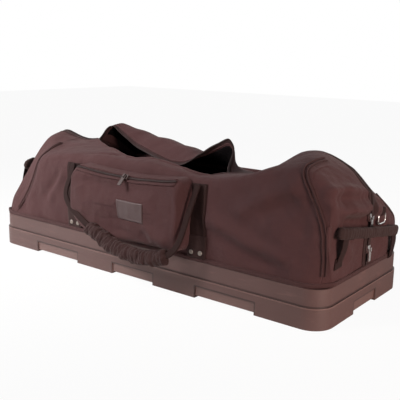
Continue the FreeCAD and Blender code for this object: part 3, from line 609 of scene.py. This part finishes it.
def strip(tree, line, width, lift, rows, columns):
    spots, normals = lay(tree, along_line(line, rows))
    normals = smoothed(normals, 2.0)
    sides = np.cross(directions(spots), normals)
    sides /= np.linalg.norm(sides, axis=1, keepdims=True)
    across = np.linspace(-0.5, 0.5, columns) * width
    spots, _ = lay(tree, spots[:, None] + sides[:, None] * across[None, :, None])
    return spots + normals[:, None] * lift


def round_profile(width, height, count, square):
    turn = -np.linspace(0, 2 * np.pi, count + 1)
    return np.stack([np.sign(value) * np.abs(value) ** square * half
                     for value, half in ((np.cos(turn), width / 2), (np.sin(turn), height / 2))], 1)


def sweep(line, profile, ups, closed=False, ends=0.0, swell=None):
    # A profile carried along a line; ends is the length over which each end closes to a round tip.
    line = np.asarray(line, float)
    if closed:
        line = np.concatenate([line, line[:1]])
        runs = directions(line)
        runs[0] = runs[-1] = (runs[0] + runs[-1]) / np.linalg.norm(runs[0] + runs[-1])
    else:
        runs = directions(line)
    sides = np.cross(runs, ups)
    sides /= np.linalg.norm(sides, axis=1, keepdims=True)
    tops = np.cross(sides, runs)
    size = np.ones(len(line)) if swell is None else np.array(swell, float)
    if ends:
        steps = np.r_[0, np.cumsum(np.linalg.norm(np.diff(line, axis=0), axis=1))]
        nearer = np.clip(np.minimum(steps, steps[-1] - steps) / ends, 0, 1)
        size = size * np.sqrt(np.maximum(1 - (1 - nearer) ** 2, 0))
    return line[:, None] + size[:, None, None] * (
        sides[:, None] * profile[None, :, :1] + tops[:, None] * profile[None, :, 1:])


# Lining: thin black cloth inside the walls, hoods and ends. It is every second row and column of their
# skins, drawn in towards a line along the middle of the case, a little unevenly.
LINING_INSET, MIDDLE_REACH, MIDDLE_HEIGHT = 10.0, 330, 150


def every_second(count):
    return np.r_[0:count - 1:2, count - 1]


lining_grids = []
for skin in skins.values():
    places = skin[np.ix_(every_second(skin.shape[0]), every_second(skin.shape[1]))]
    middle = np.zeros_like(places)
    middle[..., 0] = np.clip(places[..., 0], -MIDDLE_REACH, MIDDLE_REACH)
    middle[..., 2] = MIDDLE_HEIGHT
    outward = places - middle
    outward /= np.linalg.norm(outward, axis=-1, keepdims=True)
    lining_grids.append(places - outward * (LINING_INSET + ripples(places, 60, 0.5, 21))[..., None])
thicken(cloth_piece("body_lining_cloth", lining_grids, "case", lining_cloth, ["body_lining"],
                    weld=False), 0.8)

# Rolled edges: the front and back walls' top edges and both mouths end in a soft turned-in roll, and a cord
# along the back flap's hinge line closes the gap under its root.
UPWARDS = np.array([0.0, 0.0, 1.0])
front_wall, back_wall = skins["front_wall"], skins["back_wall"]
left_cover, right_cover = skins["left_hood_cover"], skins["right_hood_cover"]
front_edge = front_wall[-1][(front_wall[-1][:, 0] > -60) & (front_wall[-1][:, 0] < 190)]
back_edge = back_wall[0][(back_wall[0][:, 0] > -300) & (back_wall[0][:, 0] < 190)]
rolls = []
for line, drop, size in ((front_edge, 3.5, 11), (back_edge, 0.5, 9), (left_cover[:, -1], 2.5, 8),
                         (right_cover[:, 0], 2.5, 8)):
    line = smoothed(along_line(line, 160), 3.0) - np.array([0, 0, drop])
    rolls.append(sweep(line, round_profile(size, size, 14, 1.0), UPWARDS, ends=6,
                       swell=1 + 0.1 * ripples(line, 50, 1.0, 31)))
hinge_line = np.linspace((-296, 149.0, 218.6), (178, 149.0, 218.6), 120)
rolls.append(sweep(hinge_line, round_profile(9, 9, 14, 1.0), UPWARDS, ends=5))
cloth_piece("rolled_edges", rolls, "case", body_nylon)


# Long zipper over each hood and down the middle of each end: woven tape under a moulded coil of teeth,
# both laid on the skins.
trees = {"left": tree_of(left_cover, skins["left_end"]), "right": tree_of(right_cover, skins["right_end"]),
         "front": tree_of(front_wall), "back": tree_of(back_wall),
         "all": tree_of(*skins.values())}
tape_cloth = nylon("tape_cloth", (0.026, 0.0125, 0.0125), (0.042, 0.021, 0.021), 0.0008, 0.08, 0.15)
coil_paint = Paint("coil_plastic")
rub = coil_paint.noise(0.02, 4)
coil_paint.set(Base_Color=coil_paint.blend(rub, (0.016, 0.0085, 0.0085), (0.034, 0.019, 0.0185)),
               Roughness=0.5 + rub * 0.2, Specular_IOR_Level=0.2)
coil_plastic = coil_paint.material


def toothed(line, ups, width=5.5, height=3.4, pitch=2.4):
    steps = np.linalg.norm(np.diff(line, axis=0), axis=1).sum()
    line = along_line(line, int(steps / pitch * 4))
    ups = along_line(ups, len(line))
    bite = 1 + 0.17 * np.cos(np.arange(len(line)) * np.pi / 2)
    return sweep(line, round_profile(width, height, 10, 0.9), ups, swell=bite)


for side, sign, start in (("left", -1, -303.0), ("right", 1, 190.0)):
    over = soft_body(np.linspace(start, sign * END, 90), np.full(90, 0.5))
    down = end_cap(sign, np.full(60, 0.5), np.linspace(0.01, 0.955, 60))
    line = np.concatenate([over, down])
    tape = strip(trees[side], line, 30, 1.3, 260, 9)
    piece = cloth_piece(side + "_tape", [tape], "case", tape_cloth, [side + "_zipper_tape"], weld=False)
    thicken(piece, 1.2)
    middle = tape[:, 4]
    ups = smoothed(grid_normals(tape)[:, 4], 2.0)
    cloth_piece(side + "_teeth", [toothed(middle + ups * 1.2, ups)], "case", coil_plastic,
                [side + "_zipper_coil"])

# Corner seams: two thin piping cords on a bound tape, from the tray's rim up and over to the zipper,
# at both ends of both long sides.
binding_cloth = nylon("binding_cloth", (0.040, 0.0175, 0.018), (0.070, 0.033, 0.033), 0.0009, 0.08, 0.2)
for side, sign in (("left", -1), ("right", 1)):
    for face, low_share, high_share in (("front", 0.035, 0.395), ("back", 0.965, 0.605)):
        around = np.linspace(low_share, high_share, 90)
        line = soft_body(corner_seam(side, sign, around), around)
        tape = strip(trees["all"], line, 15, 0.7, 150, 5)
        ups = smoothed(grid_normals(tape), 2.0)
        cords = [sweep(tape[:, column] + ups[:, column] * 0.8, round_profile(3.6, 3.6, 10, 1.0), ups[:, column])
                 for column in (1, 3)]
        cloth_piece(face + "_" + side + "_seam", [tape] + cords, "case", binding_cloth,
                    [face + "_" + side + "_piping"], weld=False)

# Binding along the tray's rim: a folded band that holds the body's foot all round, with a slight bulge
# between its stitches.
RIM_HEIGHT, RIM_GAP, RIM_STEPS = 84.5, 1.5, 700
foot = table[:, 0] + RIM_GAP
side_rim = np.stack([lengths, foot, np.full(len(lengths), RIM_HEIGHT)], 1)
rim = np.concatenate([
    side_rim * np.array([1, -1, 1]),
    [(END + RIM_GAP, y, RIM_HEIGHT) for y in np.linspace(-foot[-1], foot[-1], 40)[1:-1]],
    side_rim[::-1],
    [(-END - RIM_GAP, y, RIM_HEIGHT) for y in np.linspace(foot[0], -foot[0], 40)[1:-1]]])
rim = along_line(np.concatenate([rim, rim[:1]]), RIM_STEPS)[:-1]
cloth_piece("rim_band", [sweep(rim, round_profile(4.5, 9.4, 12, 0.5), UPWARDS, closed=True,
                               swell=1 + 0.05 * np.sin(np.arange(RIM_STEPS) * 1.9))],
            "case", binding_cloth, ["rim_binding"])


# Webbing: heavy ribbed tape with a stitched line along both edges, dull and nearly black. The wide one
# makes straps and carry loops, the narrow one the ends' legs, anchors and ring tabs.
def webbing(name, width):
    paint = Paint(name)
    cloud = paint.noise(0.05, 4)
    across, = paint.apart("UV", [0])
    ribs = paint.wave("X", 0.0022)
    weft = paint.wave("Y", 0.0016)
    stitch_line = (across / width - 0.5).size().near(0.40, 0.014)
    thread = stitch_line * paint.wave("Y", 0.006).above(0.35)
    colour = paint.blend(cloud * 0.6 + weft * 0.4, (0.015, 0.0068, 0.0065), (0.028, 0.0135, 0.0125))
    colour = paint.blend(thread * 0.8, colour, (0.05, 0.029, 0.027))
    paint.set(Base_Color=colour, Roughness=0.66 + cloud * 0.15, Specular_IOR_Level=0.12,
              Normal=paint.bump(ribs * 0.0006 + weft * 0.0003 + thread * 0.0005, 1.0, 0.7))
    return paint.material


dark_webbing = webbing("dark_webbing", 0.044)
thin_webbing = webbing("thin_webbing", 0.034)
coat_nodes(thin_webbing, "left_ring_tab", "right_ring_tab")

# Straps up both walls, a sewn patch over each strap's foot, and two dull nickel rivets through each patch.
# A rivet's head is a turned form: RIVET gives each of its rings' radius and rise over the cloth.
RIVET = ((5.2, 3.0), (5.2, 4.2), (4.8, 4.9), (3.8, 5.3), (3.4, 5.0), (2.0, 5.4), (0.0, 5.6))
patch_cloth = nylon("patch_cloth", (0.022, 0.0105, 0.010), (0.038, 0.019, 0.018), 0.0014, 0.08, 0.2)
patches, heads = [], []
for face, sign, top in (("front", -1, 246), ("back", 1, 181)):
    for side, place in (("left", -190), ("right", 184 if sign < 0 else 190)):
        line = [(place, sign * 182, height) for height in (88, 120, 150, 180, top)]
        band = strip(trees[face], line if sign < 0 else line[::-1], 44, 2.2, 70, 7)
        piece = cloth_piece(face + "_" + side + "_band", [band], "case", dark_webbing,
                            [face + "_" + side + "_strap"], weld=False)
        thicken(piece, 1.8)
        line = [(place, sign * 182, height) for height in (89, 112, 136)]
        patch = strip(trees[face], line if sign < 0 else line[::-1], 46, 3.6, 24, 13)
        patches.append(patch)
        for offset in (-11, 11):
            spots, ups = lay(trees[face], np.array([[place + offset, sign * 184, 100.0]]))
            sides = np.cross(ups[0], UPWARDS)
            sides /= np.linalg.norm(sides)
            tops = np.cross(sides, ups[0])
            turn = np.linspace(0, 2 * np.pi, 25)
            circle = np.cos(turn)[:, None] * sides + np.sin(turn)[:, None] * tops
            heads.append(np.array([spots[0] + ups[0] * rise + radius * circle for radius, rise in RIVET]))
thicken(cloth_piece("foot_patches", patches, "case", patch_cloth, ["strap_patches"], weld=False), 1.6)
nickel_paint = Paint("dull_nickel")
stain = nickel_paint.noise(0.003, 3)
nickel_paint.set(Base_Color=nickel_paint.blend(stain, (0.20, 0.17, 0.15), (0.36, 0.32, 0.29)), Metallic=1.0,
                 Roughness=0.3 + stain * 0.2)
cloth_piece("rivet_heads", heads, "case", nickel_paint.material, ["strap_rivets"])

# Sliders, pulls and rings: bright chrome at the ends, with faint haze, and dark painted metal on the
# pocket, a little worn.
chrome_paint = Paint("chrome")
haze = chrome_paint.noise(0.008, 4)
chrome_paint.set(Base_Color=(0.74, 0.73, 0.72), Metallic=1.0, Roughness=0.12 + haze * 0.2)
coat_nodes(chrome_paint.material, "upper_slider", "lower_slider", "upper_pull", "lower_pull", "left_ring",
           "right_ring")
painted_paint = Paint("painted_metal")
wear = painted_paint.noise(0.004, 4)
painted_paint.set(Base_Color=painted_paint.blend(wear, (0.030, 0.018, 0.017), (0.060, 0.038, 0.036)),
                  Metallic=0.3, Roughness=0.35 + wear * 0.2)
coat_nodes(painted_paint.material, "pocket_slider", "pocket_pull")

# Front pocket: a padded box with a rounded bevel, sagging a little in the middle of its top edge. Its rings
# run from the wall outwards and then in to the middle of its face; each corner has its own radius.
POCKET_WALL, POCKET_MIDDLE = 178.0, 173
POCKET_HALF_X, POCKET_HALF_Z, INNERMOST = 167, 75, 74.6
POCKET_CORNERS = ((1, 1, 20), (-1, 1, 42), (-1, -1, 60), (1, -1, 24))
POCKET_BEVEL = [(-1, 0), (0, 8), (0.5, 18), (1.5, 30), (4, 38), (9, 43.5), (16, 45.5), (26, 46.2), (40, 47),
                (58, 48), (70, 48.5), (INNERMOST, 48.5)]
RING_POINTS = 281


def pocket_ring(inset, depth):
    half_x, half_z = POCKET_HALF_X - inset, POCKET_HALF_Z - inset
    points = []
    for turn, (sign_x, sign_z, corner) in enumerate(POCKET_CORNERS):
        radius = max(corner - inset * 0.8, min(0.45 * half_z, 8))
        angles = np.radians(np.linspace(0, 90, 16) + 90 * turn)
        middle_x, middle_z = sign_x * (half_x - radius), POCKET_MIDDLE + sign_z * (half_z - radius)
        points.extend((middle_x + radius * math.cos(angle), middle_z + radius * math.sin(angle))
                      for angle in angles)
    points = along_line(np.array(points + points[:1]), RING_POINTS)
    return np.stack([points[:, 0], np.full(RING_POINTS, -POCKET_WALL - depth), points[:, 1]], 1)


steps = smoothed(along_line(np.array(POCKET_BEVEL), 84), 1.2)
pocket = np.array([pocket_ring(min(inset, INNERMOST), max(depth, 0)) for inset, depth in steps])
x, z = pocket[..., 0], pocket[..., 2]
out = np.clip((-pocket[..., 1] - POCKET_WALL) / 40, 0, 1)
upper = np.clip((z - POCKET_MIDDLE) / POCKET_HALF_Z, 0, 1)
lower = np.clip((POCKET_MIDDLE - z) / POCKET_HALF_Z, 0, 1)
pocket[..., 2] += upper * (-3.5 + 9 * (x / 150) ** 2) - lower * (4 * np.cos(x * np.pi / 300)) * out
pocket[..., 0] += out * (3 * upper - 2 * lower)
pocket_folds = [
    ([(-120, -224, 225), (-40, -226, 212), (60, -226, 218), (120, -224, 226)], 10, -2.5),
    ([(-140, -224, 205), (-118, -226, 170), (-120, -224, 140)], 12, 3),
    ([(70, -226, 150), (100, -226, 125), (140, -224, 118)], 9, 3.5),
    ([(60, -226, 132), (90, -226, 108), (120, -222, 100)], 8, -3),
    ([(156, -224, 230), (160, -222, 185), (152, -222, 125)], 5, 3),
    ([(-80, -226, 135), (-20, -226, 118), (40, -224, 116)], 12, -3),
    ([(90, -226, 205), (120, -226, 180), (130, -226, 160)], 12, -2.5),
]
moves = fold_moves(pocket, pocket_folds) + ripples(pocket, 80, 1.3, 12) + ripples(pocket, 30, 0.4, 17)
pocket = moved_out(pocket, moves * out)
piece = cloth_piece("pocket_case", [pocket], "case", body_nylon, ["pocket_bag"],
                    unroll=lambda place: (place[0] / 1000, (place[2] - place[1]) / 1000))

# Pocket zipper on the bevel: tape and coil along the pocket's top edge, between two turned edges of the
# pocket's own cloth.
pocket_tree = tree_of(pocket)
line = np.array([(x, -217.0, 241.0 + 7.5 * (x / 140) ** 2) for x in np.linspace(-140, 156, 60)])
tape = strip(pocket_tree, line, 17, 0.9, 160, 9)
ups = smoothed(grid_normals(tape), 2.0)
thicken(cloth_piece("pocket_tape", [tape], "case", binding_cloth, ["pocket_zipper_tape"],
                    weld=False), 0.8)
cloth_piece("pocket_teeth", [toothed(tape[:, 4] + ups[:, 4], ups[:, 4], 4.6, 2.8, 2.0)], "case",
            coil_plastic, ["pocket_zipper_coil"])
welts = [sweep(tape[:, column] + ups[:, column] * 0.6, round_profile(4.5, 3.0, 12, 0.9), ups[:, column], ends=4)
         for column in (0, 8)]
cloth_piece("pocket_welts", welts, "case", body_nylon)

# Plain patch on the pocket: one bare piece of soft plastic, 78 by 44 millimetres, with a low border and
# nothing on it.
BADGE_LONG, BADGE_HIGH, BADGE_ROWS, BADGE_COLUMNS = 78, 44, 60, 40
badge_paint = Paint("plain_badge")
spots = badge_paint.noise(0.01, 3)
badge_paint.set(Base_Color=badge_paint.blend(spots, (0.050, 0.028, 0.029), (0.070, 0.042, 0.042)),
                Roughness=0.45 + spots * 0.15,
                Normal=badge_paint.bump(badge_paint.noise(0.001, 2), 0.0002, 0.5))
badge_line = [(x, -228.0, 171.0) for x in np.linspace(-4, BADGE_LONG - 4, 20)]
badge = strip(pocket_tree, badge_line, BADGE_HIGH, 1.7, BADGE_ROWS, BADGE_COLUMNS)


def from_ends(count, length):
    # How far each of a row's points lies from the row's nearer end.
    steps = np.arange(count)
    return np.minimum(steps, steps[::-1]) * length / (count - 1)


border = np.minimum(from_ends(BADGE_ROWS, BADGE_LONG)[:, None], from_ends(BADGE_COLUMNS, BADGE_HIGH)[None, :])
badge = moved_out(badge, 0.7 * np.exp(-((border - 2.6) / 1.1) ** 2) - 0.9 * np.exp(-(border / 0.8) ** 2))
thicken(cloth_piece("plain_badge", [badge], "case", badge_paint.material, ["pocket_badge"],
                    weld=False), 1.5)


# Top flaps: padded cloth outside, black lining inside and half a zipper along the free edge. The back one
# leans over the opening, with one corner turned back; the front one hangs inside its wall.
def flap_skin(shapes, start, stop, rows, columns):
    places = sorted(shapes)
    wanted = np.linspace(start, stop, columns)
    outlines = np.array([along_line(shapes[place], 40).reshape(-1) for place in places])
    grid = np.stack([np.interp(wanted, places, column) for column in outlines.T], 1)
    grid = smoothed(grid, columns * 6.0 / abs(stop - start)).reshape(columns, 40, 2)
    grid = np.stack([smoothed(along_line(line, rows), rows / 22) for line in grid], 1)
    length = np.repeat(wanted[None, :], rows, 0)
    return np.concatenate([length[..., None], grid], 2)


def dress_flap(name, skin):
    cloth = moved_out(skin, ripples(skin, 80, 1.6, 41) + ripples(skin, 30, 0.4, 44))
    normals = grid_normals(cloth)[-1]
    way = cloth[-1] - cloth[-4]
    way /= np.linalg.norm(way, axis=1, keepdims=True)
    inner = moved_out(cloth, -3.9)[4:-2, 3:-3]
    tape = np.array([cloth[-1] + way * step - normals * 1.6 for step in (-5, 0, 4, 8, 11)])
    for part, grid, material, finish, node, thickness in (
            ("_cover", cloth, body_nylon, "fabric", "", 3.6),
            ("_inside", inner[:, ::-1], lining_cloth, "lining", "_lining", 0.7),
            ("_edge_tape", tape, tape_cloth, "tape", "_tape", 1.0)):
        thicken(cloth_piece(name + part, [grid], name, material, [name + node], weld=False), thickness)
    cloth_piece(name + "_edge_teeth", [toothed(tape[-1], normals, 4.6, 3.0)], name, coil_plastic,
                [name + "_coil"])
    hem = smoothed(cloth[-1] - normals * 1.8, 1.5)
    cloth_piece(name + "_hem", [sweep(hem, round_profile(5.2, 5.2, 10, 1.0), normals, ends=5)], name,
                body_nylon)


ROOT_PLACE, ROOT_HEIGHT, LEFT_ROOT_HEIGHT = 149.5, 216.5, 215
back_shapes = {
    -297: [(141, 216), (111, 228), (77, 242), (44, 257), (22, 267), (6, 272)],
    -283: [(136, 241), (117, 272), (96, 300), (80, 318), (64, 322), (50, 316)],
    -262: [(136, 241), (117, 273), (96, 300), (80, 313), (62, 313), (50, 303)],
    -190: [(135, 243), (115, 275), (94, 294), (76, 298), (56, 288), (42, 270)],
    -120: [(135, 241), (112, 268), (88, 285), (66, 286), (44, 272), (30, 254)],
    -60: [(134, 240), (108, 260), (82, 275), (60, 274), (36, 259), (22, 242)],
    -15: [(132, 236), (106, 254), (82, 268), (58, 269), (36, 258), (22, 244)],
    38: [(132, 230), (108, 240), (84, 248), (62, 254), (44, 261), (30, 267)],
    60: [(130, 226), (104, 233), (80, 240), (60, 250), (48, 264), (42, 279)],
    76: [(128, 225), (102, 231), (78, 238), (60, 252), (51, 270), (47, 288)],
    90: [(127, 224), (100, 229), (77, 235), (60, 250), (52, 272), (49, 296)],
    103: [(127, 223), (100, 228), (77, 233), (60, 248), (52, 272), (49, 298)],
    113: [(127, 223), (100, 227), (77, 232), (61, 245), (53, 262), (50, 282)],
    120: [(128, 222), (100, 225), (76, 228), (58, 236), (50, 250), (46, 264)],
    128: [(128, 222), (102, 225), (76, 228), (50, 232), (26, 234), (6, 236)],
    178: [(130, 222), (105, 226), (78, 230), (54, 231), (30, 231), (8, 231)],
}
back_shapes = {place: [(ROOT_PLACE, LEFT_ROOT_HEIGHT if place == -297 else ROOT_HEIGHT), *line]
               for place, line in back_shapes.items()}
front_tops = {-195: 265, -100: 268, -10: 268, 90: 267, 150: 261, 178: 257}
front_shapes = {
    place: [(-147, top - 1), (-142, top - 5), (-139.5 - bow, top - 22), (-139 - bow, 215), (-138, 180),
            (-137 + bow, 146)]
    for (place, top), bow in zip(front_tops.items(), (0, 1.5, 0, 1.5, 0, 0))}
dress_flap("back_flap", flap_skin(back_shapes, -297, 178, 70, 300)[:, ::-1])
dress_flap("front_flap", flap_skin(front_shapes, -195, 178, 50, 160))


# Carry loops: webbing that leaves the straps and hangs in a loop, with a wrapped grip round its middle.
# The front one has slipped to the right, and its grip is gathered in small ruffles.
grip_cloth = nylon("grip_cloth", (0.026, 0.0115, 0.0112), (0.044, 0.0205, 0.0200), 0.0013, 0.12, 0.6)
GRIP_ROWS, GRIP_LENGTH = 240, 240


def carry_loop(face, legs, middle, sizes, lean):
    line = np.array([(x, lean(z), z) for x, z in legs], float)
    line = smoothed(along_line(line, 200), 5.0)
    ups = np.array([0.0, -1.0 if face == "front" else 1.0, 0.35])
    cloth_piece(face + "_loop", [sweep(line, round_profile(sizes[0], 4.4, 14, 0.5), ups, ends=3)],
                face + "_handle", dark_webbing, [face + "_handle_loop"])
    grip = smoothed(along_line(np.array([(x, lean(z), z) for x, z in middle], float), GRIP_ROWS), 9.0)
    steps = np.linspace(0, 1, GRIP_ROWS)
    body = sweep(grip, round_profile(sizes[1], sizes[2], 48, 0.85), ups, ends=9)
    run = np.broadcast_to(steps[:, None] * GRIP_LENGTH, body.shape[:2])
    wrinkle = ripples(np.stack([run * 1.6, body[..., 2], body[..., 1]], -1), 21, 1.3, 61)
    wrinkle = wrinkle + ripples(np.stack([run * 2, body[..., 2], body[..., 1]], -1), 9, 0.5, 66)
    gathers = np.sin(steps * 95 + 3.4 * np.sin(steps * 17))[:, None] * 0.45 * (1.2 - steps[:, None])
    body = moved_out(body, wrinkle + gathers * (1 if face == "front" else 0.4))
    piece = cloth_piece(face + "_grip", [body], face + "_handle", grip_cloth, [face + "_handle_grip"])


carry_loop("front", [(-188, 246), (-184, 225), (-190, 200), (-194, 178), (-178, 158), (-138, 138), (-96, 120),
                     (-55, 107), (-10, 92), (40, 84), (90, 83), (134, 90), (164, 103), (176, 134), (178, 170),
                     (183, 212), (188, 246)],
           [(-88, 118), (-40, 102), (-10, 92), (40, 84), (90, 83), (134, 90), (152, 96)], (14, 32, 25),
           lambda z: -184 - (246 - z) * 0.37)
carry_loop("back", [(-190, 181), (-196, 150), (-190, 120), (-165, 98), (-120, 85), (-60, 81), (60, 81),
                    (120, 85), (165, 98), (190, 120), (196, 150), (190, 181)],
           [(-92, 83), (-60, 81), (60, 81), (92, 83)], (20, 33, 25),
           lambda z: 184 + (181 - z) * 0.14)

# End handles: a padded bar with a stitched cover on two webbing legs, whose feet are sewn flat to the end.
# The table gives each bar's middle line and where its two legs are sewn, across and up.
BAR_ROWS = 160
bar_cloth = nylon("bar_cloth", (0.020, 0.0100, 0.0095), (0.042, 0.022, 0.0205), 0.0012, 0.08, 0.3)
for side, sign, bar, feet in (
        ("left", -1, [(-479, -98, 188), (-488, -85, 199), (-494, -40, 203), (-494, 40, 201), (-488, 100, 191),
                      (-480, 122, 178)], [(-106, 118), (118, 116)]),
        ("right", 1, [(484, -150, 188), (492, -128, 184), (496, -60, 173), (496, 0, 163), (495, 60, 152),
                      (488, 112, 143), (482, 128, 139)], [(-128, 126), (120, 84)])):
    line = smoothed(along_line(bar, BAR_ROWS), 5.0)
    out = np.array([float(sign), 0.0, 0.0])
    body = sweep(line, round_profile(21, 13, 28, 0.75), out, ends=6)
    creases = 0.35 * np.cos(np.linspace(0, 1, BAR_ROWS) * 190)[:, None] + ripples(body, 26, 0.5, 71)
    piece = cloth_piece(side + "_bar", [moved_out(body, creases)], side + "_end_handle", bar_cloth,
                        [side + "_handle_bar"])
    legs, anchors = [], []
    for (y, z), end, inner in zip(feet, (line[14], line[-15]), (line[30], line[-31])):
        low = np.array([sign * 479.5, y, z])
        leg = smoothed(along_line([inner, end, (end + low) / 2 + out * 3, low], 60), 4.0)
        legs.append(sweep(leg, round_profile(24, 2.6, 14, 0.5), out, ends=1.5))
        foot = [(sign * 478, y, z + 10), (sign * 478, y + 1, z - 12)]
        anchors.append(strip(trees[side], foot, 32, 2.2, 14, 7))
    cloth_piece(side + "_legs", legs, side + "_end_handle", thin_webbing, [side + "_handle_legs"])
    thicken(cloth_piece(side + "_anchors", anchors, "case", thin_webbing, [side + "_handle_anchors"],
                        weld=False), 1.8)
